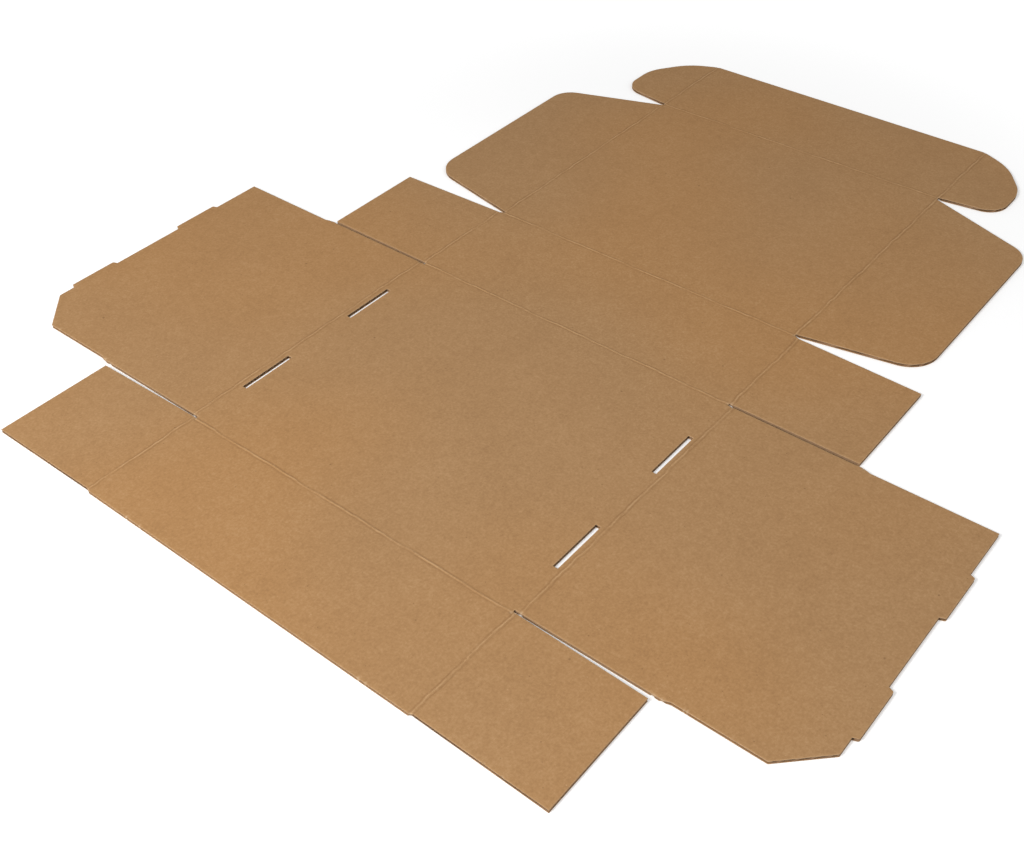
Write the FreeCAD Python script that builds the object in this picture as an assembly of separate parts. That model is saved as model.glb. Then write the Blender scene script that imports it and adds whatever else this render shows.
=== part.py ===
"""Flattened roll-end mailer: one die-cut blank of single-wall corrugated board, lying inside down.

Units are millimetres. X runs along the flutes, Y from the front wall's edge towards the tuck, Z up.
The sheet is drawn with the base's front crease at Y = 0 and moved at the end, so that the origin is
under the middle of the sheet, on the surface that it lies on.
"""
import FreeCAD, Part
import math
import os

# Board: two liners with a fluted medium glued between them.
board_thickness = 3.0
liner_thickness = 0.3
medium_thickness = 0.25
flute_pitch = 6.8
glue_line_width = 0.6
flute_phase = 1.4

# Panels, from crease to crease or from crease to cut edge.
base_length = 303.0
base_width = 253.0
front_wall_height = 96.0
back_wall_height = 102.0
side_crease_offset = 3.0
side_wall_height = 99.5
roll_over_width = 6.5
inner_panel_height = 99.0
lid_length = 294.0
lid_depth = 254.0
tuck_depth = 101.0

# Corner flaps that fold in between the two side layers.
front_flap_length = 102.0
back_flap_length = 104.5
front_flap_root_step = 1.4
front_flap_end_step = 0.4
back_flap_root_step = 1.6
back_flap_end_step = 5.0

# Slits between the side walls and the corner flaps.
slit_reach_past_crease = 1.5
front_slit_width = 1.8
front_slit_flare = 2.4
front_side_setback = 3.1
back_slit_width = 2.4
back_side_setback = 1.2
inner_panel_front_step = 1.7
inner_panel_back_step = 1.9
inner_panel_lead_in = 5.5
inner_panel_chamfer = 29.0

# Lock tabs on the inner panels and the slots under those panels, in the base, that take them.
tab_width = 45.0
tab_height = 4.0
tab_lead = 1.6
tab_corner_radius = 1.3
tab_spacing = 112.0
slot_play = 1.0

# Lid side flaps.
lid_flap_reach = 99.0
lid_flap_root_gap = 2.2
lid_flap_near_rise = 20.0
lid_flap_far_fall = 36.0
lid_flap_near_radius = 27.0
lid_flap_far_radius = 22.0

# Rounded ears at the ends of the tuck.
ear_reach = 53.5
ear_root_gap = 1.4
ear_near_rise = 7.8
ear_near_radius = 20.0
ear_crown_x = 28.0
ear_crown_y = 88.5
ear_crown_radius = 60.0
ear_shoulder_y = 53.0
ear_shoulder_radius = 40.0

# Creases: a blunt rule presses the inner liner up and crushes the flutes, and raises a bead outside.
crease_width = 4.0
crease_rule_width = 1.2
crease_depth = 0.9
flute_crush_margin = 1.6
bead_width = 1.8
bead_crest_width = 0.7
bead_height = 0.35

# Least part of a flute that is cut open along an edge, so that no sliver is left.
least_open_flute = 0.5

# How far the flutes that a lock slot cuts open are hollow behind its inner edge.
slot_flute_depth = 6.0

# Places worked out from the sizes. The side wall folds outside the corner flaps, so its crease is further out.
x_side = base_length / 2
x_wall = x_side + side_crease_offset
x_roll_outer = x_wall + side_wall_height
x_roll_inner = x_roll_outer + roll_over_width
x_panel_edge = x_roll_inner + inner_panel_height
x_tab_edge = x_panel_edge + tab_height
x_lid = lid_length / 2
y_front_edge = -front_wall_height
y_hinge = base_width + back_wall_height
y_tuck = y_hinge + lid_depth
y_tuck_edge = y_tuck + tuck_depth
y_side_front = front_side_setback
y_side_back = base_width - back_side_setback
y_panel_front = y_side_front + inner_panel_front_step
y_panel_back = y_side_back - inner_panel_back_step
tab_centres = [base_width / 2 - tab_spacing / 2, base_width / 2 + tab_spacing / 2]
slot_width = board_thickness + slot_play
slot_length = tab_width + 2 * slot_play
x_slot = x_wall - roll_over_width - slot_width / 2


def front_flap_corners():
    """Corners of the right front corner flap, from the front wall's edge back to its slit."""
    x_end = x_side + front_flap_length
    slit_edge = y_side_front - front_slit_width
    return [
        (x_side - slit_reach_past_crease, y_front_edge, 0),
        (x_side + slit_reach_past_crease, y_front_edge + front_flap_root_step, 0),
        (x_end, y_front_edge + front_flap_end_step, 0),
        (x_end, slit_edge - front_slit_flare, 0),
        (x_side - slit_reach_past_crease, slit_edge, 0),
    ]


def side_corners():
    """Corners of the right side wall, roll-over and inner panel with its lock tabs."""
    corners = [
        (x_side - slit_reach_past_crease, y_side_front, 0),
        (x_roll_inner, y_side_front, 0),
        (x_roll_inner + inner_panel_lead_in, y_panel_front, 0),
        (x_panel_edge - inner_panel_chamfer, y_panel_front, 0),
        (x_panel_edge, y_panel_front + inner_panel_chamfer, 0),
    ]
    for centre in tab_centres:
        corners += [
            (x_panel_edge, centre - tab_width / 2, 0),
            (x_tab_edge, centre - tab_width / 2 + tab_lead, tab_corner_radius),
            (x_tab_edge, centre + tab_width / 2 - tab_lead, tab_corner_radius),
            (x_panel_edge, centre + tab_width / 2, 0),
        ]
    corners += [
        (x_panel_edge, y_panel_back, 0),
        (x_roll_inner + inner_panel_lead_in, y_panel_back, 0),
        (x_roll_inner, y_side_back, 0),
        (x_side - slit_reach_past_crease, y_side_back, 0),
    ]
    return corners


def back_flap_corners():
    """Corners of the right back corner flap, from its slit to the lid's hinge crease."""
    x_end = x_side + back_flap_length
    return [
        (x_side - slit_reach_past_crease, y_side_back + back_slit_width, 0),
        (x_end, y_side_back + back_slit_width, 0),
        (x_end, y_hinge - back_flap_end_step, 0),
        (x_side, y_hinge - back_flap_root_step, 0),
    ]


def lid_flap_corners():
    """Corners of the lid's right side flap, tapered towards its rounded outer corners."""
    x_end = x_lid + lid_flap_reach
    return [
        (x_lid, y_hinge, 0),
        (x_lid, y_hinge + lid_flap_root_gap, 0),
        (x_end, y_hinge + lid_flap_root_gap + lid_flap_near_rise, lid_flap_near_radius),
        (x_end, y_tuck - lid_flap_root_gap - lid_flap_far_fall, lid_flap_far_radius),
        (x_lid, y_tuck - lid_flap_root_gap, 0),
    ]


def ear_corners():
    """Corners of the right ear of the tuck, crowned towards the tuck's edge."""
    x_end = x_lid + ear_reach
    return [
        (x_lid, y_tuck + ear_root_gap, 0),
        (x_end, y_tuck + ear_root_gap + ear_near_rise, ear_near_radius),
        (x_end, y_tuck + ear_shoulder_y, ear_shoulder_radius),
        (x_lid + ear_crown_x, y_tuck + ear_crown_y, ear_crown_radius),
        (x_lid, y_tuck_edge, 0),
    ]


def rounded_wire(corners):
    """Closed wire through (x, y, radius) corners, with a tangent arc at each corner that has a radius."""
    spans = []
    for index, (x, y, radius) in enumerate(corners):
        corner = FreeCAD.Vector(x, y, 0)
        if radius == 0:
            spans.append((corner, None, corner))
            continue
        before = FreeCAD.Vector(*corners[index - 1][:2], 0)
        after = FreeCAD.Vector(*corners[(index + 1) % len(corners)][:2], 0)
        to_before = (before - corner).normalize()
        to_after = (after - corner).normalize()
        half_angle = to_before.getAngle(to_after) / 2
        tangent = radius / math.tan(half_angle)
        centre = corner + (to_before + to_after).normalize() * (radius / math.sin(half_angle))
        middle = centre + (corner - centre).normalize() * radius
        spans.append((corner + to_before * tangent, middle, corner + to_after * tangent))
    edges = []
    for index, (start, middle, end) in enumerate(spans):
        if middle is not None:
            edges.append(Part.Arc(start, middle, end).toShape())
        following = spans[(index + 1) % len(spans)][0]
        edges.append(Part.LineSegment(end, following).toShape())
    return Part.Wire(edges)


def die_cut(z_low, height):
    """A prism of the die-cut outline, which is mirrored about the middle of the base."""
    right = front_flap_corners() + side_corners() + back_flap_corners() + lid_flap_corners() + ear_corners()
    left = [(-x, y, radius) for x, y, radius in reversed(right)]
    face = Part.Face(rounded_wire(right + left))
    face.translate(FreeCAD.Vector(0, 0, z_low))
    return face.extrude(FreeCAD.Vector(0, 0, height))


def lock_slots():
    """Tools for the slots that stand under the folded inner panels, one for each lock tab."""
    slot_height = board_thickness + bead_height
    slots = []
    for centre in tab_centres:
        for x_low in (x_slot, -x_slot - slot_width):
            corner = FreeCAD.Vector(x_low, centre - slot_length / 2, 0)
            slots.append(Part.makeBox(slot_width, slot_length, slot_height, corner))
    return slots


def ridge(start, end, z_foot, foot_width, crest_width, height):
    """A straight ridge with sloping sides from start to end, standing on the level z_foot."""
    foot = FreeCAD.Vector(0, 0, z_foot)
    crest = FreeCAD.Vector(0, 0, z_foot + height)
    start = FreeCAD.Vector(*start, 0)
    run = FreeCAD.Vector(*end, 0) - start
    across = FreeCAD.Vector(-run.y, run.x, 0).normalize()
    section = [
        foot - across * (foot_width / 2),
        crest - across * (crest_width / 2),
        crest + across * (crest_width / 2),
        foot + across * (foot_width / 2),
    ]
    points = [start + point for point in section]
    return Part.Face(Part.makePolygon(points + points[:1])).extrude(run)


def groove(start, end):
    """Tool for the groove that the creasing rule leaves in the inner liner, from below."""
    return ridge(start, end, 0, crease_width, crease_rule_width, crease_depth)


def bead(start, end):
    """The bead that stands on the outer liner over a crease."""
    return ridge(start, end, board_thickness, bead_width, bead_crest_width, bead_height)


def fold_lines():
    """Creases at the panels' folds, from start to end: those along the flutes, and those across them."""
    x_slit = x_side - slit_reach_past_crease
    lines = [
        ((-x_slit, 0), (x_slit, 0)),
        ((-x_slit, base_width), (x_slit, base_width)),
        ((-x_lid, y_hinge), (x_lid, y_hinge)),
        ((-x_lid, y_tuck), (x_lid, y_tuck)),
    ]
    for side in (1, -1):
        lines += [
            ((side * x_side, y_front_edge), (side * x_side, y_side_front - front_slit_width)),
            ((side * x_wall, y_side_front), (side * x_wall, y_side_back)),
            ((side * x_side, y_side_back + back_slit_width), (side * x_side, y_hinge)),
            ((side * x_lid, y_hinge), (side * x_lid, y_tuck)),
            ((side * x_lid, y_tuck), (side * x_lid, y_tuck_edge)),
        ]
    return lines


def roll_over_lines():
    """The pairs of creases that the side walls roll over at, which raise no bead."""
    lines = []
    for side in (1, -1):
        for x_crease in (side * x_roll_outer, side * x_roll_inner):
            lines.append(((x_crease, y_side_front), (x_crease, y_side_back)))
    return lines


def flute_void(x_start, x_end, y_centre, upper):
    """One flute's air space: a channel with a liner on its wide side and the medium on the other two."""
    wide = (flute_pitch - glue_line_width) / 2
    z_low = liner_thickness
    z_high = board_thickness - liner_thickness
    if upper:
        z_wide, z_valley = z_high, z_low + medium_thickness
    else:
        z_wide, z_valley = z_low, z_high - medium_thickness
    section = [
        (y_centre - wide, z_wide),
        (y_centre + wide, z_wide),
        (y_centre, z_valley),
    ]
    points = [FreeCAD.Vector(x_start, y, z) for y, z in section]
    face = Part.Face(Part.makePolygon(points + points[:1]))
    return face.extrude(FreeCAD.Vector(x_end - x_start, 0, 0))


def flutes(x_start, x_end, y_low, y_high):
    """Air spaces of a panel whose flutes are cut open at their ends, between two of its edges."""
    reach = (flute_pitch - glue_line_width) / 2 - least_open_flute
    half_pitch = flute_pitch / 2
    first = math.ceil((y_low - reach - flute_phase) / half_pitch)
    last = math.floor((y_high + reach - flute_phase) / half_pitch)
    voids = []
    for number in range(first, last + 1):
        y_centre = flute_phase + number * half_pitch
        voids.append(flute_void(x_start, x_end, y_centre, number % 2 == 0))
    return voids


def flutes_along_edge(x_start, x_end, y_edge):
    """Air spaces that a cut along the flutes lays open, over the length of one edge."""
    return flutes(x_start, x_end, y_edge, y_edge)


def open_flutes():
    """Flutes that show: at the ends of the flaps and panels, and along the edges cut with the flutes."""
    stop = crease_width / 2 + flute_crush_margin
    voids = flutes_along_edge(stop - x_side, x_side - stop, y_front_edge)
    voids += flutes_along_edge(stop - x_lid, x_lid - stop, y_tuck_edge)
    right = flutes(x_side + stop, x_side + front_flap_length, y_front_edge, y_side_front - front_slit_width)
    right += flutes_along_edge(x_wall + stop, x_roll_outer - stop, y_side_front)
    right += flutes_along_edge(x_wall + stop, x_roll_outer - stop, y_side_back)
    right += flutes(x_roll_inner + inner_panel_lead_in, x_tab_edge, y_panel_front, y_panel_back)
    for centre in tab_centres:
        right += flutes(x_slot - slot_flute_depth, x_slot, centre - slot_length / 2, centre + slot_length / 2)
    right += flutes(x_side + stop, x_side + back_flap_length, y_side_back + back_slit_width, y_hinge)
    right += flutes(x_lid + stop, x_lid + lid_flap_reach, y_hinge, y_tuck)
    right += flutes(x_lid + stop, x_lid + ear_reach, y_tuck, y_tuck_edge)
    across = FreeCAD.Vector(1, 0, 0)
    left = [void.mirror(FreeCAD.Vector(0, 0, 0), across) for void in right]
    return voids + right + left


def box_blank():
    """The whole blank, moved so that the origin is under its middle."""
    grooves = [groove(start, end) for start, end in fold_lines() + roll_over_lines()]
    beads = [bead(start, end) for start, end in fold_lines()]
    cut_beads = beads[0].fuse(beads[1:]).common(die_cut(board_thickness, bead_height))
    blank = die_cut(0, board_thickness).fuse(cut_beads)
    blank = blank.cut(lock_slots()).cut(open_flutes()).cut(grooves).removeSplitter()
    to_middle = FreeCAD.Vector(0, -(y_front_edge + y_tuck_edge) / 2, 0)
    blank.translate(to_middle)
    return blank


os.makedirs("parts", exist_ok=True)
blank = box_blank()
print("valid", blank.isValid(), "solids", len(blank.Solids), "volume", round(blank.Volume))
print("box", blank.BoundBox)
blank.exportStep("parts/box_blank.step")
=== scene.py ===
"""Looks of a flattened mailing box: one die-cut blank of corrugated board, lying inside down.

Sizes are millimetres until a mesh is made, and metres from there on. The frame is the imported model's:
X along the flutes, Y from the front wall's edge towards the tuck, Z up, with the origin under the middle
of the blank.
"""
import logging
import math
from dataclasses import dataclass, field
from enum import Enum

import bpy
import numpy as np
from mathutils import Matrix, Vector


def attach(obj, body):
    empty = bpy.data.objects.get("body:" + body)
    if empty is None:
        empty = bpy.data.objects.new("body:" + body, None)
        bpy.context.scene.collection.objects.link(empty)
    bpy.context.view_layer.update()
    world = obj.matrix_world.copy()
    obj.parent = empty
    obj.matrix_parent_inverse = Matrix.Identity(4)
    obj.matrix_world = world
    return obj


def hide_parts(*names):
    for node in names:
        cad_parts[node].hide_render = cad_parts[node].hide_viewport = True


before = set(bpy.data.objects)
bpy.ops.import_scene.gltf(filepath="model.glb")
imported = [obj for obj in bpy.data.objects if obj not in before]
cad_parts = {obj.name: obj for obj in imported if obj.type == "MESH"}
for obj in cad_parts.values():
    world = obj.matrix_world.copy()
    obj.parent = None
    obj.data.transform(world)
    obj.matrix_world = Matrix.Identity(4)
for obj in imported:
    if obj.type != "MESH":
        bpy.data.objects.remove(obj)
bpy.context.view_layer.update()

MM = 0.001
WHITE = (1.0, 1.0, 1.0, 1.0)
log = logging.getLogger("flattened_box")

Point = tuple[float, float]
Triple = tuple[float, float, float]
Colour = tuple[float, float, float, float]
Lengths = tuple[float, ...]
Names = tuple[str, ...]
Array = np.ndarray
Node = bpy.types.Node
Socket = bpy.types.NodeSocket
Tree = bpy.types.NodeTree


@dataclass(frozen=True)
class Board:
    """Section of the corrugated board, in millimetres."""

    thickness: float = 3.0
    liner: float = 0.3
    medium: float = 0.25
    flute_pitch: float = 6.8
    flute_phase: float = 1.4
    washboard: float = 0.02
    edge_crush: float = 0.14
    edge_crush_width: float = 1.4


@dataclass(frozen=True)
class Blank:
    """Panels of the blank, in millimetres, with the base's front crease at y = 0 and x = 0 in the middle."""

    base_length: float = 303.0
    base_width: float = 253.0
    front_wall_height: float = 96.0
    back_wall_height: float = 102.0
    side_crease_offset: float = 3.0
    side_wall_height: float = 99.5
    roll_over_width: float = 6.5
    inner_panel_height: float = 99.0
    lid_length: float = 294.0
    lid_depth: float = 254.0
    tuck_depth: float = 101.0
    front_flap_length: float = 102.0
    back_flap_length: float = 104.5
    front_flap_root_step: float = 1.4
    front_flap_end_step: float = 0.4
    back_flap_root_step: float = 1.6
    back_flap_end_step: float = 5.0
    slit_overrun: float = 1.5
    front_slit_width: float = 1.8
    front_slit_flare: float = 2.4
    front_side_setback: float = 3.1
    back_slit_width: float = 2.4
    back_side_setback: float = 1.2
    inner_panel_front_step: float = 1.7
    inner_panel_back_step: float = 1.9
    inner_panel_lead_in: float = 5.5
    inner_panel_chamfer: float = 29.0
    tab_width: float = 45.0
    tab_height: float = 4.0
    tab_lead: float = 1.6
    tab_corner_radius: float = 1.3
    tab_spacing: float = 112.0
    slot_width: float = 4.0
    slot_length: float = 47.0
    lid_flap_reach: float = 99.0
    lid_flap_root_gap: float = 2.2
    lid_flap_near_rise: float = 20.0
    lid_flap_far_fall: float = 36.0
    lid_flap_near_radius: float = 27.0
    lid_flap_far_radius: float = 22.0
    ear_reach: float = 53.5
    ear_root_gap: float = 1.4
    ear_near_rise: float = 7.8
    ear_near_radius: float = 20.0
    ear_crown: tuple[float, float, float] = (28.0, 88.5, 60.0)
    ear_shoulder: tuple[float, float] = (53.0, 40.0)

    @property
    def x_side(self) -> float:
        """Crease between the front or back wall and a corner flap."""
        return self.base_length / 2

    @property
    def x_slit(self) -> float:
        """Inner end of the slits beside a corner flap."""
        return self.x_side - self.slit_overrun

    @property
    def x_wall(self) -> float:
        """Crease between the base and a side wall, which folds outside the corner flaps."""
        return self.x_side + self.side_crease_offset

    @property
    def x_roll_outer(self) -> float:
        """First crease of the roll-over strip."""
        return self.x_wall + self.side_wall_height

    @property
    def x_roll_inner(self) -> float:
        """Second crease of the roll-over strip."""
        return self.x_roll_outer + self.roll_over_width

    @property
    def x_panel_edge(self) -> float:
        """Cut edge of the inner panel between its tabs."""
        return self.x_roll_inner + self.inner_panel_height

    @property
    def x_slot(self) -> float:
        """Edge of a lock slot that is nearer to the middle; the slot is under the folded inner panel."""
        return self.x_wall - self.roll_over_width - self.slot_width / 2

    @property
    def x_lid(self) -> float:
        """Crease between the lid and its side flap."""
        return self.lid_length / 2

    @property
    def y_front_edge(self) -> float:
        """Cut edge of the front wall."""
        return -self.front_wall_height

    @property
    def y_hinge(self) -> float:
        """Crease between the back wall and the lid."""
        return self.base_width + self.back_wall_height

    @property
    def y_tuck(self) -> float:
        """Crease between the lid and the tuck."""
        return self.y_hinge + self.lid_depth

    @property
    def y_tuck_edge(self) -> float:
        """Cut edge of the tuck."""
        return self.y_tuck + self.tuck_depth

    @property
    def y_side_back(self) -> float:
        """Back cut edge of a side wall."""
        return self.base_width - self.back_side_setback

    @property
    def tab_centres(self) -> tuple[float, float]:
        """Middles of the two lock tabs of an inner panel."""
        middle = self.base_width / 2
        return middle - self.tab_spacing / 2, middle + self.tab_spacing / 2

    @property
    def y_to_frame(self) -> float:
        """What is added to y so that the origin is under the middle of the blank."""
        return -(self.y_front_edge + self.y_tuck_edge) / 2


@dataclass(frozen=True)
class Corner:
    """A corner of the die line, rounded if it has a radius."""

    x: float
    y: float
    radius: float = 0.0


@dataclass
class DieLine:
    """The cut lines of the blank as polygons."""

    blank: Blank
    arc_step: float = 2.5

    def front_flap(self) -> list[Corner]:
        """Right front corner flap, from the front wall's edge back to its slit."""
        b = self.blank
        x_end = b.x_side + b.front_flap_length
        slit_edge = b.front_side_setback - b.front_slit_width
        return [
            Corner(b.x_slit, b.y_front_edge),
            Corner(b.x_side + b.slit_overrun, b.y_front_edge + b.front_flap_root_step),
            Corner(x_end, b.y_front_edge + b.front_flap_end_step),
            Corner(x_end, slit_edge - b.front_slit_flare),
            Corner(b.x_slit, slit_edge),
        ]

    def side(self) -> list[Corner]:
        """Right side wall, roll-over strip and inner panel with its lock tabs."""
        b = self.blank
        y_panel_front = b.front_side_setback + b.inner_panel_front_step
        y_panel_back = b.y_side_back - b.inner_panel_back_step
        corners = [
            Corner(b.x_slit, b.front_side_setback),
            Corner(b.x_roll_inner, b.front_side_setback),
            Corner(b.x_roll_inner + b.inner_panel_lead_in, y_panel_front),
            Corner(b.x_panel_edge - b.inner_panel_chamfer, y_panel_front),
            Corner(b.x_panel_edge, y_panel_front + b.inner_panel_chamfer),
        ]
        x_tab = b.x_panel_edge + b.tab_height
        for centre in b.tab_centres:
            low, high = centre - b.tab_width / 2, centre + b.tab_width / 2
            corners += [
                Corner(b.x_panel_edge, low),
                Corner(x_tab, low + b.tab_lead, b.tab_corner_radius),
                Corner(x_tab, high - b.tab_lead, b.tab_corner_radius),
                Corner(b.x_panel_edge, high),
            ]
        return corners + [
            Corner(b.x_panel_edge, y_panel_back),
            Corner(b.x_roll_inner + b.inner_panel_lead_in, y_panel_back),
            Corner(b.x_roll_inner, b.y_side_back),
            Corner(b.x_slit, b.y_side_back),
        ]

    def back_flap(self) -> list[Corner]:
        """Right back corner flap, from its slit to the lid's hinge crease."""
        b = self.blank
        x_end = b.x_side + b.back_flap_length
        y_slit = b.y_side_back + b.back_slit_width
        return [
            Corner(b.x_slit, y_slit),
            Corner(x_end, y_slit),
            Corner(x_end, b.y_hinge - b.back_flap_end_step),
            Corner(b.x_side, b.y_hinge - b.back_flap_root_step),
        ]

    def lid_flap(self) -> list[Corner]:
        """Right side flap of the lid."""
        b = self.blank
        x_end = b.x_lid + b.lid_flap_reach
        y_near = b.y_hinge + b.lid_flap_root_gap
        y_far = b.y_tuck - b.lid_flap_root_gap
        return [
            Corner(b.x_lid, b.y_hinge),
            Corner(b.x_lid, y_near),
            Corner(x_end, y_near + b.lid_flap_near_rise, b.lid_flap_near_radius),
            Corner(x_end, y_far - b.lid_flap_far_fall, b.lid_flap_far_radius),
            Corner(b.x_lid, y_far),
        ]

    def ear(self) -> list[Corner]:
        """Right ear of the tuck."""
        b = self.blank
        x_end = b.x_lid + b.ear_reach
        y_root = b.y_tuck + b.ear_root_gap
        crown_x, crown_y, crown_radius = b.ear_crown
        shoulder_y, shoulder_radius = b.ear_shoulder
        return [
            Corner(b.x_lid, y_root),
            Corner(x_end, y_root + b.ear_near_rise, b.ear_near_radius),
            Corner(x_end, b.y_tuck + shoulder_y, shoulder_radius),
            Corner(b.x_lid + crown_x, b.y_tuck + crown_y, crown_radius),
            Corner(b.x_lid, b.y_tuck_edge),
        ]

    def rounded(self, corners: list[Corner]) -> Array:
        """Points of the closed line through the corners.

        Args:
            corners: the corners in order; one with a radius becomes a tangent arc.

        Returns:
            An array of (x, y) rows.
        """
        points: list[Array] = []
        for index, corner in enumerate(corners):
            here = np.array([corner.x, corner.y])
            if corner.radius == 0:
                points.append(here)
                continue
            beside = corners[index - 1], corners[(index + 1) % len(corners)]
            arms = [np.array([other.x, other.y]) - here for other in beside]
            back, ahead = [arm / np.linalg.norm(arm) for arm in arms]
            half_angle = math.acos(float(back @ ahead)) / 2
            middle = (back + ahead) / np.linalg.norm(back + ahead)
            centre = here + middle * corner.radius / math.sin(half_angle)
            tangent = math.tan(half_angle)
            start, end = [here + arm * corner.radius / tangent - centre for arm in (back, ahead)]
            turn = math.atan2(start[0] * end[1] - start[1] * end[0], float(start @ end))
            steps = max(3, math.ceil(abs(turn) * corner.radius / self.arc_step))
            for angle in np.linspace(0, turn, steps + 1):
                cos, sin = math.cos(angle), math.sin(angle)
                turned = (start[0] * cos - start[1] * sin, start[0] * sin + start[1] * cos)
                points.append(centre + np.array(turned))
        return np.array(points)

    def loops(self) -> list[Array]:
        """The outer line and the four lock slots, in the part's frame, as arrays of (x, y) rows."""
        b = self.blank
        flaps = (self.front_flap(), self.side(), self.back_flap(), self.lid_flap(), self.ear())
        right = self.rounded([corner for flap in flaps for corner in flap])
        left = right[::-1] * (-1, 1)
        loops = [np.concatenate([right, left])]
        for centre in b.tab_centres:
            low, high = centre - b.slot_length / 2, centre + b.slot_length / 2
            for x_low in (b.x_slot, -b.x_slot - b.slot_width):
                x_high = x_low + b.slot_width
                loops.append(np.array([(x_low, low), (x_high, low), (x_high, high), (x_low, high)]))
        return [loop + (0, b.y_to_frame) for loop in loops]

    def edges(self) -> Array:
        """Every straight stretch of the cut lines, as rows of (x0, y0, x1, y1)."""
        return np.concatenate([np.hstack([loop, np.roll(loop, -1, axis=0)]) for loop in self.loops()])


@dataclass(frozen=True)
class Crease:
    """One crease, with how high its bead stands over the outer liner."""

    start: Point
    end: Point
    bead_height: float
    number: int

    @property
    def crosses_flutes(self) -> bool:
        """True for a crease along Y, which crosses the flutes."""
        return self.start[0] == self.end[0]

    def place(self, x: Array, y: Array) -> tuple[Array, Array]:
        """Where points lie beside this crease.

        Args:
            x: the points' x.
            y: the points' y.

        Returns:
            The signed distance across the crease, and the distance along it, both in millimetres.
        """
        if self.crosses_flutes:
            return x - self.start[0], y - min(self.start[1], self.end[1])
        return y - self.start[1], x - min(self.start[0], self.end[0])

    @property
    def length(self) -> float:
        """How long the crease is."""
        return abs(self.end[0] - self.start[0]) + abs(self.end[1] - self.start[1])


def wandering(along: Array, seed: int, wavelength: float) -> Array:
    """A smooth irregular value from about -1 to 1 along a line.

    Args:
        along: distances along the line.
        seed: a number of its own for each line.
        wavelength: the length of the longest wave.

    Returns:
        The value at each distance.
    """
    draw = np.random.RandomState(seed)
    total = np.zeros_like(along)
    for share in (1.0, 0.55, 0.37, 0.21):
        total += share * np.sin(2 * math.pi * (along / (wavelength * share) + draw.uniform()))
    return total / 1.6


def smooth_step(value: Array) -> Array:
    """Value clipped to 0 and 1 and eased at both ends."""
    value = np.clip(value, 0, 1)
    return value * value * (3 - 2 * value)


@dataclass(frozen=True)
class Nick:
    """A torn spot on a cut edge, where a bridge held the blank in its sheet."""

    x: float
    y: float
    strength: float
    half_width: float = 0.75
    reach: float = 1.5

    def mark(self, x: Array, y: Array) -> Array:
        """How much each point is torn, from 0 to the nick's strength."""
        apart = ((x - self.x) / self.half_width) ** 2 + ((y - self.y) / self.reach) ** 2
        return self.strength * np.exp(-apart)


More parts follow.
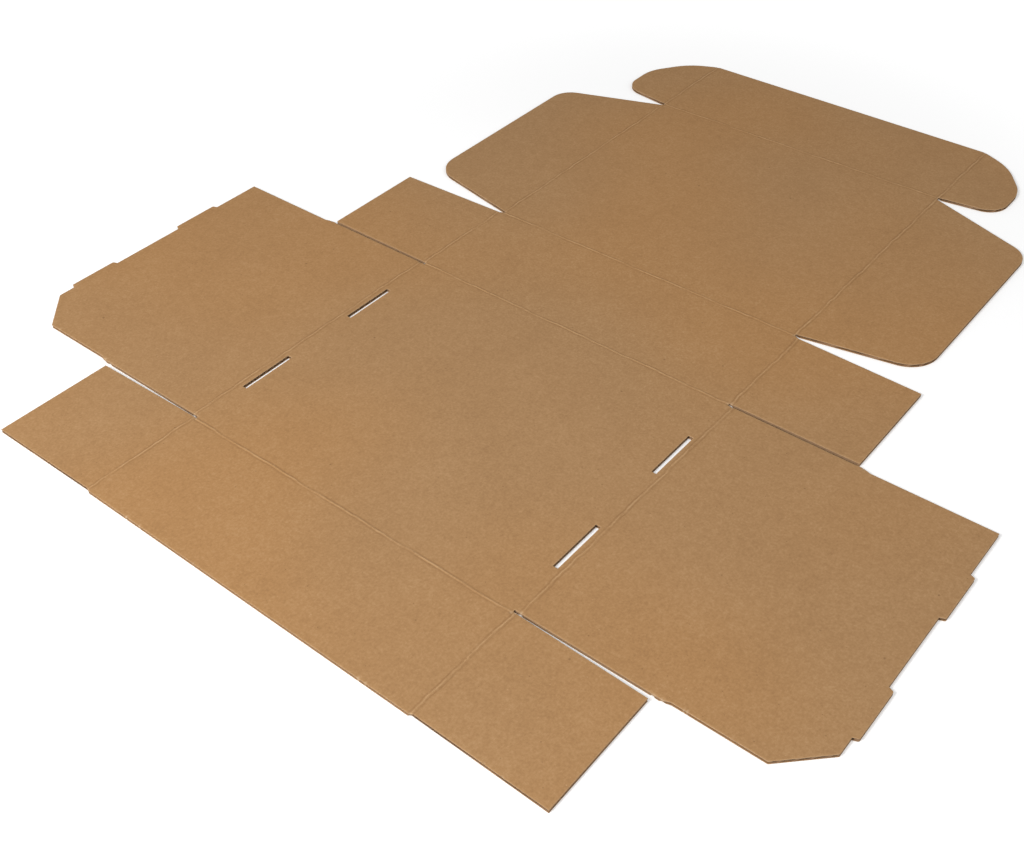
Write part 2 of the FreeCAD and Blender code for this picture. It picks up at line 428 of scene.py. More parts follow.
@dataclass
class Relief:
    """Heights of the board's layers over the floor, in millimetres."""

    board: Board
    blank: Blank
    edges: Array
    groove_depth: float = 0.9
    groove_floor: float = 0.6
    groove_half_width: float = 2.1
    bead_half_width: float = 0.85
    bead_height: float = 0.345
    bead_wander: float = 0.5
    bead_kink: float = 0.33
    valley_depth: float = 0.08
    valley_offset: float = 1.45
    valley_width: float = 0.5
    valley_end: float = 3.2
    crease_reach: float = 4.0
    pinch_depth: float = 0.4
    pinch_across: float = 1.3
    pinch_along: float = 1.6
    pinch_gap: float = 2.5
    nicks: tuple[Nick, ...] = (
        Nick(-109.0, -403.0, 1.0),
        Nick(-95.0, -403.0, 0.8),
        Nick(109.5, -403.0, 1.0),
        Nick(115.5, -403.0, 0.7),
        Nick(206.5, -402.8, 0.9),
        Nick(-40.0, -403.0, 0.4),
        Nick(220.0, -402.8, 0.5),
        Nick(274.2, -302.2, 0.8),
        Nick(276.5, -302.2, 0.6),
        Nick(-321.0, -302.2, 0.6),
    )
    creases: list[Crease] = field(default_factory=list)

    def __post_init__(self) -> None:
        """Lists the creases of the blank."""
        b = self.blank
        slit_edge = b.front_side_setback - b.front_slit_width
        lines = [
            (-b.x_slit, 0, b.x_slit, 0),
            (-b.x_slit, b.base_width, b.x_slit, b.base_width),
            (-b.x_lid, b.y_hinge, b.x_lid, b.y_hinge),
            (-b.x_lid, b.y_tuck, b.x_lid, b.y_tuck),
        ]
        for side in (1, -1):
            x_side, x_wall, x_lid = side * b.x_side, side * b.x_wall, side * b.x_lid
            lines += [
                (x_side, b.y_front_edge, x_side, slit_edge),
                (x_wall, b.front_side_setback, x_wall, b.y_side_back),
                (x_side, b.y_side_back + b.back_slit_width, x_side, b.y_hinge),
                (x_lid, b.y_hinge, x_lid, b.y_tuck),
                (x_lid, b.y_tuck, x_lid, b.y_tuck_edge),
            ]
        with_bead = len(lines)
        for x_roll in (b.x_roll_outer, b.x_roll_inner, -b.x_roll_outer, -b.x_roll_inner):
            lines.append((x_roll, b.front_side_setback, x_roll, b.y_side_back))
        shift = b.y_to_frame
        for number, (x0, y0, x1, y1) in enumerate(lines):
            bead = self.bead_height if number < with_bead else 0.0
            self.creases.append(Crease((x0, y0 + shift), (x1, y1 + shift), bead, number))

    def cut_gap(self, x: Array, y: Array, furthest: float = 3.0) -> Array:
        """Distance of each point from the nearest cut line, up to furthest."""
        found = np.full(len(x), furthest)
        for x0, y0, x1, y1 in self.edges:
            run_x, run_y = x1 - x0, y1 - y0
            near = np.abs(x - x0 - run_x / 2) < abs(run_x) / 2 + furthest
            near &= np.abs(y - y0 - run_y / 2) < abs(run_y) / 2 + furthest
            share = ((x[near] - x0) * run_x + (y[near] - y0) * run_y) / (run_x**2 + run_y**2)
            share = np.clip(share, 0, 1)
            gap = np.hypot(x[near] - x0 - share * run_x, y[near] - y0 - share * run_y)
            found[near] = np.minimum(found[near], gap)
        return found

    def crease_marks(self, x: Array, y: Array, gap: Array) -> dict[str, Array]:
        """What the creases do to the board at each point.

        Args:
            x: the points' x.
            y: the points' y.
            gap: the points' distance from the nearest cut line.

        Returns:
            The groove's depth below, the bead's height and its valleys' depth above, all in millimetres, and
            pinch, from 0 to 1, where the crease's end is crushed at a cut edge.
        """
        marks = {name: np.zeros(len(x)) for name in ("groove", "bead", "valley", "pinch")}
        for crease in self.creases:
            across, along = crease.place(x, y)
            inside = (along >= -0.01) & (along <= crease.length + 0.01) & (np.abs(across) < self.crease_reach)
            across, along = across[inside], along[inside]
            slope = self.groove_half_width - self.groove_floor
            depth = self.groove_depth * smooth_step((self.groove_half_width - np.abs(across)) / slope)
            end = np.minimum(along, crease.length - along)
            crushed = np.exp(-((across / self.pinch_across) ** 2) - (end / self.pinch_along) ** 2)
            crushed = crushed * (gap[inside] < self.pinch_gap)
            found = {"groove": depth, "pinch": crushed}
            if crease.bead_height > 0:
                number = crease.number
                drift = self.bead_wander * wandering(along, 11 + number, 75.0)
                drift += self.bead_kink * wandering(along, 101 + number, 22.0)
                size = np.clip(0.8 + 0.3 * wandering(along, 41 + number, 80.0), 0.4, 1.0)
                half_width = self.bead_half_width * (1 + 0.22 * wandering(along, 71 + number, 17.0))
                offset = np.abs(across - drift)
                height = crease.bead_height * size * smooth_step(1 - offset / half_width)
                found["bead"] = height * (1 - 0.7 * crushed)
                dip = np.exp(-(((offset - self.valley_offset) / self.valley_width) ** 2))
                dip = self.valley_depth * size * dip * smooth_step(self.valley_end - np.abs(across))
                found["valley"] = dip
            for name, value in found.items():
                marks[name][inside] = np.maximum(marks[name][inside], value)
        return marks

    def layers(self, x: Array, y: Array) -> dict[str, Array]:
        """Heights of every surface in the board at each point.

        Args:
            x: the points' x.
            y: the points' y.

        Returns:
            outer_top, outer_foot, inner_top and inner_foot are the liners' faces, and medium_top and
            medium_foot those of the fluted medium. The finishes read cut_gap, bead, pressed and torn.
        """
        board = self.board
        gap = self.cut_gap(x, y)
        marks = self.crease_marks(x, y, gap)
        nicked = np.max([nick.mark(x, y) for nick in self.nicks], axis=0)
        crushed = np.clip(1 - gap / board.edge_crush_width, 0, 1) ** 2 * board.edge_crush
        crushed = crushed + self.pinch_depth * np.maximum(marks["pinch"], nicked)
        turn = 2 * math.pi * (y - self.blank.y_to_frame - board.flute_phase) / board.flute_pitch
        sag = board.washboard * (1 + np.cos(turn)) / 2
        outer_top = board.thickness - crushed - sag + marks["bead"] - marks["valley"]
        inner_foot = marks["groove"] + 0.6 * crushed
        outer_foot = outer_top - board.liner
        inner_top = inner_foot + board.liner
        room = outer_foot - inner_top - board.medium
        slope = np.abs(room * math.pi / board.flute_pitch * np.sin(turn))
        half = board.medium / 2 * np.sqrt(1 + slope**2)
        middle = inner_top + board.medium / 2 + room * (1 - np.cos(turn)) / 2
        return {
            "outer_top": outer_top,
            "outer_foot": outer_foot,
            "inner_top": inner_top,
            "inner_foot": inner_foot,
            "medium_top": np.minimum(middle + half, outer_foot),
            "medium_foot": np.maximum(middle - half, inner_top),
            "cut_gap": gap,
            "bead": marks["bead"],
            # The valleys beside each bead, scaled to about 0 to 1 at their deepest; the finishes paint shade
            # there from it.
            "valley_shade": marks["valley"] / self.valley_depth,
            "torn": np.maximum(0.5 * marks["pinch"], 0.9 * nicked),
        }


@dataclass
class RowMesh:
    """A flat mesh inside the die line, made of rows of points at chosen levels of y."""

    edges: Array
    levels: Array
    lines: list[Triple]
    insets: Lengths
    steepest_inset: float = 8.0
    same_place: float = 0.3
    closest: float = 0.12
    slack: float = 1e-4
    points: list[Point] = field(default_factory=list)
    faces: list[tuple[int, ...]] = field(default_factory=list)

    def spans(self, low: float, high: float) -> list[Lengths]:
        """Stretches of the blank between two levels.

        Args:
            low: the lower level.
            high: the upper level.

        Returns:
            For each stretch: its left end low and high, its right end low and high.
        """
        middle = (low + high) / 2
        x0, y0, x1, y1 = self.edges.T
        crossing = (np.minimum(y0, y1) < middle) & (np.maximum(y0, y1) > middle)
        x0, y0, x1, y1 = x0[crossing], y0[crossing], x1[crossing], y1[crossing]
        slope = (x1 - x0) / (y1 - y0)
        at_low, at_high = x0 + slope * (low - y0), x0 + slope * (high - y0)
        order = np.argsort(at_low + at_high)
        ends = np.round(np.stack([at_low, at_high], axis=1)[order], 5)
        return [(*ends[i], *ends[i + 1]) for i in range(0, len(ends), 2)]

    def row(self, index: int, bands: list[list[Lengths]]) -> Array:
        """The x of every point on a level, which the stretches below and above it share."""
        level = float(self.levels[index])
        ends: set[float] = set()
        near: list[float] = []
        for band, here, there in ((index - 1, 1, 0), (index, 0, 1)):
            if not 0 <= band < len(bands):
                continue
            step = max(self.levels[band + 1] - self.levels[band], 1e-6)
            for span in bands[band]:
                for end, inward in ((0, 1), (2, -1)):
                    x = span[end + here]
                    ends.add(x)
                    slope = abs(span[end + there] - x) / step
                    if slope < self.steepest_inset:
                        near += [x + inward * inset * math.hypot(1, slope) for inset in self.insets]
        row = np.array(sorted(ends))
        row = row[np.diff(row, prepend=row[0] - 1) > self.slack]
        across = [x for x, low, high in self.lines if low <= level <= high]
        for x in sorted(near) + sorted(across):
            if np.abs(row - x).min() > self.closest:
                row = np.append(row, x)
        return np.sort(row)

    def join(self, lower: list[tuple[float, int]], upper: list[tuple[float, int]]) -> None:
        """Adds the faces between two chains of (x, point number)."""
        i = j = 0
        while i < len(lower) - 1 or j < len(upper) - 1:
            more_low, more_high = i < len(lower) - 1, j < len(upper) - 1
            if more_low and more_high and abs(lower[i + 1][0] - upper[j + 1][0]) < self.same_place:
                self.faces.append((lower[i][1], lower[i + 1][1], upper[j + 1][1], upper[j][1]))
                i, j = i + 1, j + 1
            elif more_low and (not more_high or lower[i + 1][0] <= upper[j + 1][0]):
                self.faces.append((lower[i][1], lower[i + 1][1], upper[j][1]))
                i += 1
            else:
                self.faces.append((lower[i][1], upper[j + 1][1], upper[j][1]))
                j += 1

    def build(self) -> "RowMesh":
        """Fills the blank with points and faces."""
        bands = [self.spans(low, high) for low, high in zip(self.levels, self.levels[1:])]
        rows: list[Array] = []
        first: list[int] = []
        for index, level in enumerate(self.levels):
            row = self.row(index, bands)
            first.append(len(self.points))
            rows.append(row)
            self.points += [(float(x), float(level)) for x in row]
        for index, spans in enumerate(bands):
            for left_low, left_high, right_low, right_high in spans:
                chains = []
                for at, left, right in ((index, left_low, right_low), (index + 1, left_high, right_high)):
                    row = rows[at]
                    inside = np.nonzero((row >= left - self.slack) & (row <= right + self.slack))[0]
                    chains.append([(float(row[k]), first[at] + int(k)) for k in inside])
                self.join(*chains)
        used = sorted({number for face in self.faces for number in face})
        renumbered = {old: new for new, old in enumerate(used)}
        self.points = [self.points[old] for old in used]
        self.faces = [tuple(renumbered[number] for number in face) for face in self.faces]
        return self

    def rim(self) -> list[tuple[int, int]]:
        """Directed edges that only one face has, with the blank on their left."""
        used = {(face[k - 1], face[k]) for face in self.faces for k in range(len(face))}
        return [(a, b) for a, b in used if (b, a) not in used]


@dataclass
class Mesher:
    """Chooses the levels and lines on which the layers of the board have their points."""

    relief: Relief
    liner_rows_per_flute: int = 6
    medium_rows_per_flute: int = 10
    edge_insets: Lengths = (0.35, 0.8, 1.4, 2.2)
    bead_offsets: Lengths = (0.0, 0.28, 0.56, 0.84, 1.12, 1.45, 1.9, 2.6, 3.5)
    groove_offsets: Lengths = (0.0, 0.6, 1.0, 1.5, 2.1, 3.0)
    medium_offsets: Lengths = (0.0, 0.9, 1.8, 2.8)
    gentle_step: float = 6.0
    bead_line_step: float = 5.0
    corner_offsets: Lengths = (0.0, 0.45, 1.2, 2.6)
    nick_offsets: Lengths = (0.0, 0.4, 0.8, 1.3, 2.0)
    medium_insets: Lengths = (1.4,)
    line_reach: float = 4.0
    corner_reach: float = 3.0
    gentle_run: float = 8.0

    def around(self, offsets: Lengths) -> list[float]:
        """The offsets on both sides of a crease."""
        return sorted({-offset for offset in offsets} | set(offsets))

    def levels(self, rows_per_flute: int, offsets: Lengths) -> Array:
        """Levels of y: every corner's own, then those at creases and cut edges, then even ones.

        Args:
            rows_per_flute: how many even levels a flute gets.
            offsets: distances from a crease along the flutes that get a level.

        Returns:
            The levels in order.
        """
        edges = self.relief.edges
        chosen = np.unique(np.round(edges[:, 1], 5))
        flat = edges[np.abs(edges[:, 1] - edges[:, 3]) < 1e-9]
        insets = [sign * inset for inset in self.edge_insets for sign in (-1, 1)]
        fine = [y + inset for y in np.unique(flat[:, 1]) for inset in insets]
        for crease in self.relief.creases:
            if not crease.crosses_flutes:
                fine += [crease.start[1] + offset for offset in self.around(offsets)]
        step = self.relief.board.flute_pitch / rows_per_flute
        low, high = chosen[0], chosen[-1]
        even = np.arange(low, high, step)
        for extra, closest in ((fine, 0.1), (even, step * 0.4)):
            for y in extra:
                if low < y < high and np.abs(chosen - y).min() > closest:
                    chosen = np.append(chosen, y)
        return np.sort(chosen)

    def lines(self, offsets: Lengths, beads_only: bool) -> list[Triple]:
        """Lines of x beside creases and nicks, and across edges that slant gently.

        Args:
            offsets: distances from a crease across the flutes that get a line.
            beads_only: leaves out the creases that raise no bead.

        Returns:
            For each line: its x, and its lower and upper end.
        """
        lines = []
        reach = self.line_reach
        for crease in self.relief.creases:
            if crease.crosses_flutes and (crease.bead_height > 0 or not beads_only):
                low, high = sorted((crease.start[1], crease.end[1]))
                lines += [(crease.start[0] + offset, low - 1, high + 1) for offset in self.around(offsets)]
            elif not crease.crosses_flutes:
                left, right = sorted((crease.start[0], crease.end[0]))
                y = crease.start[1]
                steps = np.arange(left, right, self.bead_line_step)[1:]
                lines += [(float(x), y - reach, y + reach) for x in steps]
        for nick in self.relief.nicks:
            for offset in self.around(self.nick_offsets):
                lines.append((nick.x + offset, nick.y - reach, nick.y + reach))
        reach = self.edge_insets[-1] + 1
        for x0, y0, x1, y1 in self.relief.edges:
            if abs(y1 - y0) > 0.5 and abs(x1 - x0) > self.gentle_run * abs(y1 - y0):
                for x in np.arange(min(x0, x1), max(x0, x1), self.gentle_step)[1:]:
                    lines.append((float(x), min(y0, y1) - reach, max(y0, y1) + reach))
        return lines

    def corner_lines(self) -> list[Triple]:
        """Short lines of x beside every corner of the die line."""
        corners, reach = self.relief.edges[:, :2], self.corner_reach
        offsets = self.around(self.corner_offsets)
        return [(float(x) + offset, y - reach, y + reach) for x, y in corners for offset in offsets]

    def liner(self, offsets: Lengths, beads_only: bool) -> RowMesh:
        """A liner's mesh, with points at those offsets from its creases."""
        levels = self.levels(self.liner_rows_per_flute, offsets)
        lines = self.lines(offsets, beads_only) + self.corner_lines()
        return RowMesh(self.relief.edges, levels, lines, self.edge_insets).build()

    def outer(self) -> RowMesh:
        """The outer liner's mesh."""
        return self.liner(self.bead_offsets, True)

    def inner(self) -> RowMesh:
        """The inner liner's mesh."""
        return self.liner(self.groove_offsets, False)

    def medium(self) -> RowMesh:
        """The fluted medium's mesh."""
        levels = self.levels(self.medium_rows_per_flute, self.medium_offsets)
        lines = self.lines(self.medium_offsets, False)
        return RowMesh(self.relief.edges, levels, lines, self.medium_insets).build()


class Wiring:
    """Adds and joins nodes in a material's or a group's tree."""

    def __init__(self, tree: Tree) -> None:
        """Takes the tree to work in."""
        self.tree = tree

    def node(self, kind: str, **settings: object) -> Node:
        """A new node of that kind, with its settings."""
        made = self.tree.nodes.new(kind)
        for name, value in settings.items():
            setattr(made, name, value)
        return made

    def feed(self, socket: Socket, value: object) -> None:
        """Joins an output to a socket, or sets the socket's own value."""
        if isinstance(value, Socket):
            self.tree.links.new(value, socket)
        else:
            socket.default_value = value

    def fill(self, node: Node, given: dict[str, object]) -> Node:
        """The node, with its inputs fed by name."""
        for name, value in given.items():
            self.feed(node.inputs[name], value)
        return node

    def result(self, kind: str, *values: object, **settings: object) -> Socket:
        """The first output of a new node, with its inputs fed in order."""
        made = self.node(kind, **settings)
        for socket, value in zip(made.inputs, values):
            self.feed(socket, value)
        return made.outputs[0]

    def math(self, operation: str, *values: object, clamp: bool = False) -> Socket:
        """The result of a Math node."""
        return self.result("ShaderNodeMath", *values, operation=operation, use_clamp=clamp)

    def weighted(self, middle: float, *terms: tuple[object, object]) -> Socket:
        """The sum of each value less middle, times its weight."""
        total = None
        for value, weight in terms:
            part = self.math("MULTIPLY", self.math("SUBTRACT", value, middle), weight)
            total = part if total is None else self.math("ADD", total, part)
        return total

    def remap(self, value: object, low: float, high: float, to: Point = (0.0, 1.0)) -> Socket:
        """Value eased from low..high to the two values of to, and held beyond."""
        made = self.node("ShaderNodeMapRange", interpolation_type="SMOOTHSTEP")
        given = {"Value": value, "From Min": low, "From Max": high, "To Min": to[0], "To Max": to[1]}
        return self.fill(made, given).outputs["Result"]

    def mix(self, share: object, first: object, second: object) -> Socket:
        """Two colours mixed by share."""
        made = self.node("ShaderNodeMix", data_type="RGBA")
        for number, given in ((0, share), (6, first), (7, second)):
            self.feed(made.inputs[number], given)
        return made.outputs[2]

    def noise(self, vector: object, scale: float, detail: float = 2.0, roughness: float = 0.5) -> Socket:
        """The value of a Noise Texture."""
        given = {"Vector": vector, "Scale": scale, "Detail": detail, "Roughness": roughness}
        return self.fill(self.node("ShaderNodeTexNoise"), given).outputs["Fac"]

    def stretched(self, vector: object, scale: Triple) -> Socket:
        """The vector with each axis multiplied."""
        return self.result("ShaderNodeVectorMath", vector, scale, operation="MULTIPLY")

    def attribute(self, name: str) -> Socket:
        """The value of a mesh's attribute."""
        return self.node("ShaderNodeAttribute", attribute_name=name).outputs["Fac"]

    def group(self, tree: Tree, given: dict[str, object]) -> Socket:
        """The first output of a shared group, with its inputs fed by name."""
        return self.fill(self.node("ShaderNodeGroup", node_tree=tree), given).outputs[0]


def bare(owner: bpy.types.ID) -> Wiring:
    """The wiring of a material or a world, with its own nodes cleared away."""
    owner.use_nodes = True
    owner.node_tree.nodes.clear()
    return Wiring(owner.node_tree)


def in_scene(name: str, data: bpy.types.ID) -> bpy.types.Object:
    """A new object with that data, in the scene."""
    made = bpy.data.objects.new(name, data)
    bpy.context.scene.collection.objects.link(made)
    return made


def new_group(name: str, inputs: Names, outputs: Names) -> tuple[Tree, Wiring, Node, Node]:
    """An empty shader node group that reads a Vector.

    Args:
        name: the group's name.
        inputs: the names of the values that it reads.
        outputs: the names of the values that it gives.

    Returns:
        The group, its wiring, its input node and its output node.
    """
    tree = bpy.data.node_groups.new(name, "ShaderNodeTree")
    tree.interface.new_socket("Vector", in_out="INPUT", socket_type="NodeSocketVector")
    for direction, names in (("INPUT", inputs), ("OUTPUT", outputs)):
        for socket in names:
            tree.interface.new_socket(socket, in_out=direction, socket_type="NodeSocketFloat")
    wiring = Wiring(tree)
    return tree, wiring, wiring.node("NodeGroupInput"), wiring.node("NodeGroupOutput")


class PaperEffects:
    """Node groups that the board's papers share."""

    patches_per_metre = 16.0
    clouds_per_metre = 170.0
    flocs_per_metre = 560.0
    fibres_per_metre = (1500.0, 330.0, 900.0)
    strands_per_metre = (620.0, 2100.0, 900.0)
    speck_shake = 0.0007

    def __init__(self) -> None:
        """Builds each group once."""
        self.formation = self.build_formation()
        self.specks = self.build_specks()
        self.cut_fray = self.build_cut_fray()

    def build_formation(self) -> Tree:
        """Cloudy formation of the pulp and the grain of its fibres, which lie across the flutes."""
        names = ("Cloud Depth", "Fibre Depth")
        tree, w, given, made = new_group("Paper Formation", names, ("Shade", "Height"))
        place = given.outputs["Vector"]
        patches = w.noise(place, self.patches_per_metre)
        clouds = w.noise(place, self.clouds_per_metre, 3.0, 0.6)
        flocs = w.noise(place, self.flocs_per_metre, 3.0, 0.65)
        fibres = w.noise(w.stretched(place, self.fibres_per_metre), 1.0, 3.0, 0.65)
        strands = w.noise(w.stretched(place, self.strands_per_metre), 1.0, 2.0, 0.6)
        cloudy = w.weighted(0.5, (clouds, 0.9), (flocs, 2.2), (patches, 0.5))
        grain = w.weighted(0.5, (fibres, 1.0), (strands, 0.5))
        depths = (given.outputs[name] for name in names)
        w.feed(made.inputs["Shade"], w.weighted(0.0, *zip((cloudy, grain), depths)))
        w.feed(made.inputs["Height"], w.weighted(0.0, (grain, 0.7), (cloudy, 0.5)))
        return tree

    def build_specks(self) -> Tree:
        """Dark bark specks and pale shives scattered in the paper."""
        tree, w, given, made = new_group("Paper Specks", ("Scale", "Share", "Radius"), ("Mask",))
        shake = w.node("ShaderNodeTexNoise")
        w.fill(shake, {"Vector": given.outputs["Vector"], "Scale": 900.0})
        shift = (self.speck_shake, self.speck_shake, 0.0)
        terms = shake.outputs["Color"], shift, given.outputs["Vector"]
        warped = w.result("ShaderNodeVectorMath", *terms, operation="MULTIPLY_ADD")
        cells = w.node("ShaderNodeTexVoronoi", feature="F1", voronoi_dimensions="2D")
        w.fill(cells, {"Vector": warped, "Scale": given.outputs["Scale"]})
        draws = w.node("ShaderNodeSeparateColor")
        w.feed(draws.inputs[0], cells.outputs["Color"])
        spread = w.math("ADD", w.math("MULTIPLY", draws.outputs[1], 1.1), 0.45)
        size = w.math("MULTIPLY", given.outputs["Radius"], spread)
        inside = w.math("SUBTRACT", 1.0, w.math("DIVIDE", cells.outputs["Distance"], size), clamp=True)
        chosen = w.math("LESS_THAN", draws.outputs[0], given.outputs["Share"])
        core = w.math("MULTIPLY", w.math("MULTIPLY", inside, 2.5), chosen)
        boldness = w.math("ADD", w.math("MULTIPLY", draws.outputs[2], 0.6), 0.4)
        w.feed(made.inputs["Mask"], w.math("MULTIPLY", core, boldness, clamp=True))
        return tree

    def build_cut_fray(self) -> Tree:
        """A mask along the cut edges, where torn fibres show paler."""
        tree, w, given, made = new_group("Cut Fray", ("Gap", "Width"), ("Mask",))
        ragged = w.noise(given.outputs["Vector"], 700.0, 3.0, 0.7)
        width = w.math("MULTIPLY", given.outputs["Width"], w.math("ADD", ragged, 0.5))
        share = w.math("DIVIDE", given.outputs["Gap"], width)
        w.feed(made.inputs["Mask"], w.math("SUBTRACT", 1.0, share, clamp=True))
        return tree


def linear(red: int, green: int, blue: int) -> Colour:
    """A colour given as 0 to 255 on screen, as Blender's linear values."""
    values = []
    for value in (red, green, blue):
        share = value / 255
        values.append(share / 12.92 if share <= 0.04045 else ((share + 0.055) / 1.055) ** 2.4)
    return (*values, 1.0)


@dataclass(frozen=True)
class PaperFinish:
    """Colours and strengths of one paper of the board."""

    name: str
    base: Colour
    tint: Colour
    pale: Colour
    dark: Colour
    torn: Colour = linear(216, 190, 156)
    cloud_depth: float = 0.5
    fibre_depth: float = 0.4
    speck_share: float = 0.22
    speck_strength: float = 0.45
    fray: float = 0.4
    fray_width: float = 0.9
    # How far the crease beads are mixed towards pale: partly their stretched fibres, partly a painted
    # highlight.
    bead_pale_and_highlight: float = 0.55
    # How far the valleys beside a crease bead are darkened: painted shade.
    valley_shade_strength: float = 0.45
    bark: float = 0.55
    roughness: float = 0.88
    bump_height: float = 0.00003

    def material(self, effects: PaperEffects) -> bpy.types.Material:
        """Builds the paper's material from the shared groups."""
        material = bpy.data.materials.new(self.name)
        w = bare(material)
        shader = w.node("ShaderNodeBsdfPrincipled")
        w.fill(w.node("ShaderNodeOutputMaterial"), {"Surface": shader.outputs[0]})
        place = w.node("ShaderNodeTexCoord").outputs["Object"]

        formation = w.node("ShaderNodeGroup", node_tree=effects.formation)
        w.fill(formation, {"Vector": place, "Cloud Depth": self.cloud_depth, "Fibre Depth": self.fibre_depth})
        shade = formation.outputs["Shade"]
        bark = (*(value * self.bark for value in self.dark[:3]), 1.0)
        coats = [(shade, 1.0, self.pale), (shade, -1.0, self.dark)]
        for scale, radius, speck in ((26.0, 0.020, bark), (95.0, 0.035, bark), (60.0, 0.022, self.pale)):
            given = {"Vector": place, "Scale": scale, "Share": self.speck_share, "Radius": radius}
            coats.append((w.group(effects.specks, given), self.speck_strength, speck))
        given = {"Vector": place, "Gap": w.attribute("cut_gap"), "Width": self.fray_width}
        ragged = w.remap(w.noise(place, 620.0, 3.0, 0.7), 0.3, 0.62)
        patchy = w.remap(w.noise(place, 90.0, 3.0), 0.32, 0.62, (0.2, 1.0))
        # Paler crests on the crease beads: partly stretched fibres, partly a painted highlight where raking
        # light would catch them.
        bead_pale_and_highlight_mask = w.math("MULTIPLY", w.remap(w.attribute("bead"), 0.06, 0.26), patchy)
        coats += [
            (w.group(effects.cut_fray, given), self.fray, self.pale),
            (w.attribute("torn"), ragged, self.torn),
            (bead_pale_and_highlight_mask, self.bead_pale_and_highlight, self.pale),
            # Painted shade in the valleys beside each crease bead.
            (w.attribute("valley_shade"), self.valley_shade_strength, self.dark),
        ]
        batch = w.remap(w.noise(place, 3.2, 1.0), 0.35, 0.65)
        colour = w.mix(batch, self.base, self.tint)
        for mask, strength, coat in coats:
            colour = w.mix(w.math("MULTIPLY", mask, strength, clamp=True), colour, coat)

        given = {"Strength": 0.5, "Distance": self.bump_height, "Height": formation.outputs["Height"]}
        bump = w.fill(w.node("ShaderNodeBump"), given).outputs["Normal"]
        rough = w.math("ADD", w.math("MULTIPLY", shade, 0.12), self.roughness, clamp=True)
        given = {"Base Color": colour, "Roughness": rough, "Specular IOR Level": 0.25, "Normal": bump}
        w.fill(shader, given)
        return material


def paper(name: str, *shades: tuple[int, int, int], **strengths: float) -> PaperFinish:
    """A finish from its base, tint, pale and dark shades, as 0 to 255 on screen, and any other strengths."""
    return PaperFinish(name, *(linear(*shade) for shade in shades), **strengths)


def raw_edge(name: str, *shades: tuple[int, int, int]) -> PaperFinish:
    """The finish of an edge that the die leaves raw."""
    return paper(name, *shades, cloud_depth=0.9, fibre_depth=0.7, speck_share=0.0, roughness=0.95)


class Finish(Enum):
    """The papers of the board and their raw edges, with base, tint, pale and dark shades."""

    OUTER_LINER = paper("outer_liner_kraft", (178, 134, 87), (173, 134, 92), (206, 168, 125), (136, 99, 62))
    INNER_LINER = paper("inner_liner_kraft", (173, 132, 89), (168, 131, 92), (200, 163, 122), (130, 95, 60))
    MEDIUM = paper(
        "fluting_paper", (152, 117, 85), (147, 115, 86), (176, 141, 106), (114, 85, 59), speck_share=0.2
    )
    CUT_LINER = raw_edge("cut_liner_edge", (184, 151, 117), (180, 149, 118), (208, 178, 145), (132, 102, 76))
    CUT_MEDIUM = raw_edge("cut_medium_edge", (142, 110, 82), (138, 109, 83), (170, 138, 106), (104, 77, 55))


@dataclass
class CorrugatedBlank:
    """The board of the blank: an outer liner, a fluted medium and an inner liner, glued together."""

    board: Board = field(default_factory=Board)
    blank: Blank = field(default_factory=Blank)

    def __post_init__(self) -> None:
        """Works out the die line, the relief and the papers."""
        self.relief = Relief(self.board, self.blank, DieLine(self.blank).edges())
        self.mesher = Mesher(self.relief)
        effects = PaperEffects()
        self.materials = {finish: finish.value.material(effects) for finish in Finish}

    def layer(self, name: str, flat: RowMesh, surface: str, finishes: tuple[Finish, Finish]) -> None:
        """One layer of the board as a closed mesh.

        Args:
            name: the piece's name.
            flat: its flat mesh.
            surface: the name of its two surfaces in the relief, before _top and _foot.
            finishes: the paper of its faces, and of its cut edges.
        """
        points = np.array(flat.points)
        heights = self.relief.layers(points[:, 0], points[:, 1])
        count = len(points)
        upper = np.column_stack([points, heights[f"{surface}_top"]])
        lower = np.column_stack([points, heights[f"{surface}_foot"]])
        vertices = np.concatenate([upper, lower]) * MM
        faces = flat.faces + [tuple(index + count for index in reversed(face)) for face in flat.faces]
        walls = [(b, a, a + count, b + count) for a, b in flat.rim()]
        mesh = bpy.data.meshes.new(name)
        mesh.from_pydata(vertices.tolist(), [], faces + walls)
        is_wall = np.arange(len(faces) + len(walls)) >= len(faces)
        mesh.polygons.foreach_set("use_smooth", ~is_wall)
        mesh.polygons.foreach_set("material_index", is_wall.astype(np.int32))
        for finish in finishes:
            mesh.materials.append(self.materials[finish])
        for attribute in ("cut_gap", "bead", "valley_shade", "torn"):
            data = mesh.attributes.new(attribute, "FLOAT", "POINT").data
            data.foreach_set("value", np.tile(heights[attribute], 2).astype(np.float32))
        mesh.validate()
        mesh.update()
        piece = in_scene(name, mesh)
        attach(piece, "root")
        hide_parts("box_blank")
        log.info("%s: %d points, %d faces", name, 2 * count, len(faces) + len(walls))

    def build(self) -> None:
        """Builds the three layers."""
        self.layer("outer_liner", self.mesher.outer(), "outer", (Finish.OUTER_LINER, Finish.CUT_LINER))
        self.layer("fluted_medium", self.mesher.medium(), "medium", (Finish.MEDIUM, Finish.CUT_MEDIUM))
        self.layer("inner_liner", self.mesher.inner(), "inner", (Finish.INNER_LINER, Finish.CUT_LINER))


@dataclass(frozen=True)
class Lamp:
    """A square soft light that shines at the origin, with its side in metres and its power in watts."""

    name: str
    place: Triple
    size: float
    power: float


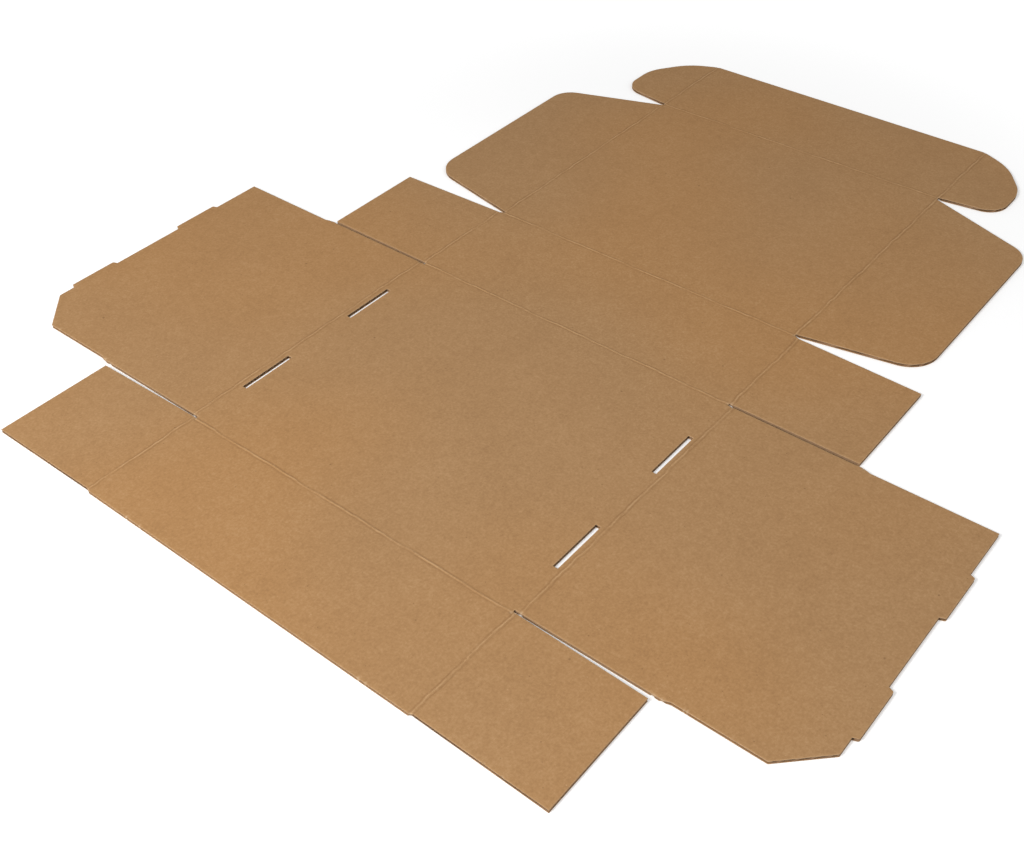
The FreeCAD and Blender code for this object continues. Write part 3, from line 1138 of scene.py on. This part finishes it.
@dataclass
class Studio:
    """The floor, the lights and the camera, in metres."""

    lamps: tuple[Lamp, ...] = (
        Lamp("key_light", (-0.2, -1.42, 1.15), 0.6, 21.0),
        Lamp("fill_light", (2.2, 0.2, 1.7), 2.0, 13.0),
    )
    camera_place: Triple = (0.4892, -0.7061, 0.6218)
    camera_ahead: Triple = (-0.4799, 0.5713, -0.6659)
    camera_right: Triple = (0.77643, 0.62991, -0.01910)
    lens_mm: float = 45.28
    floor_radius: float = 7.0
    floor_colour: float = 0.94
    glow: Point = (0.27, 0.62)
    glow_reach: Point = (0.3, 0.95)
    sky_strength: float = 0.38

    def floor(self) -> None:
        """A round pale floor, which can't be seen from below."""
        bpy.ops.mesh.primitive_circle_add(vertices=96, radius=self.floor_radius, fill_type="NGON")
        floor = bpy.context.object
        floor.name = "floor"
        material = bpy.data.materials.new("pale_floor")
        w = bare(material)
        matte = w.result("ShaderNodeBsdfDiffuse", (*[self.floor_colour] * 3, 1.0))
        rays = w.node("ShaderNodeLightPath").outputs
        seen = w.math("MAXIMUM", rays["Is Camera Ray"], rays["Is Glossy Ray"])
        seen = w.math("MAXIMUM", seen, rays["Is Transmission Ray"])
        apart = w.node("ShaderNodeVectorMath", operation="LENGTH")
        w.feed(apart.inputs[0], w.node("ShaderNodeTexCoord").outputs["Object"])
        share = w.remap(apart.outputs["Value"], *self.glow_reach, self.glow)
        glow = w.result("ShaderNodeEmission", WHITE, w.math("MULTIPLY", seen, share))
        lit = w.result("ShaderNodeAddShader", matte, glow)
        below = w.node("ShaderNodeNewGeometry").outputs["Backfacing"]
        sided = w.result("ShaderNodeMixShader", below, lit, w.result("ShaderNodeBsdfTransparent"))
        w.fill(w.node("ShaderNodeOutputMaterial"), {"Surface": sided})
        floor.data.materials.append(material)

    def sky(self) -> None:
        """A plain even sky, white where it is seen."""
        world = bpy.data.worlds.new("studio_sky")
        bpy.context.scene.world = world
        w = bare(world)
        seen = w.node("ShaderNodeLightPath").outputs["Is Camera Ray"]
        extra = w.math("MULTIPLY", seen, 1.0 - self.sky_strength)
        sky = w.result("ShaderNodeBackground", WHITE, w.math("ADD", extra, self.sky_strength))
        w.fill(w.node("ShaderNodeOutputWorld"), {"Surface": sky})

    def light(self, lamp: Lamp) -> None:
        """Hangs one lamp."""
        data = bpy.data.lights.new(lamp.name, "AREA")
        data.size = lamp.size
        data.energy = lamp.power
        light = in_scene(lamp.name, data)
        light.location = lamp.place
        light.rotation_euler = (-Vector(lamp.place)).to_track_quat("-Z", "Y").to_euler()

    def camera(self) -> None:
        """The camera at the photograph's viewing angle."""
        data = bpy.data.cameras.new("camera")
        data.lens = self.lens_mm
        data.clip_start, data.clip_end = 0.01, 50.0
        camera = in_scene("camera", data)
        right, ahead = Vector(self.camera_right).normalized(), Vector(self.camera_ahead).normalized()
        up = right.cross(ahead).normalized()
        turn = Matrix((right, up, -ahead)).transposed().to_4x4()
        camera.matrix_world = Matrix.Translation(self.camera_place) @ turn
        bpy.context.scene.camera = camera

    def build(self) -> None:
        """Sets up the whole studio."""
        bpy.context.scene.view_settings.view_transform = "Standard"
        self.floor()
        self.sky()
        for lamp in self.lamps:
            self.light(lamp)
        self.camera()


def main() -> None:
    """Builds the blank and its studio."""
    logging.basicConfig(level=logging.INFO, format="%(name)s: %(message)s")
    CorrugatedBlank().build()
    Studio().build()


if __name__ == "__main__":
    main()
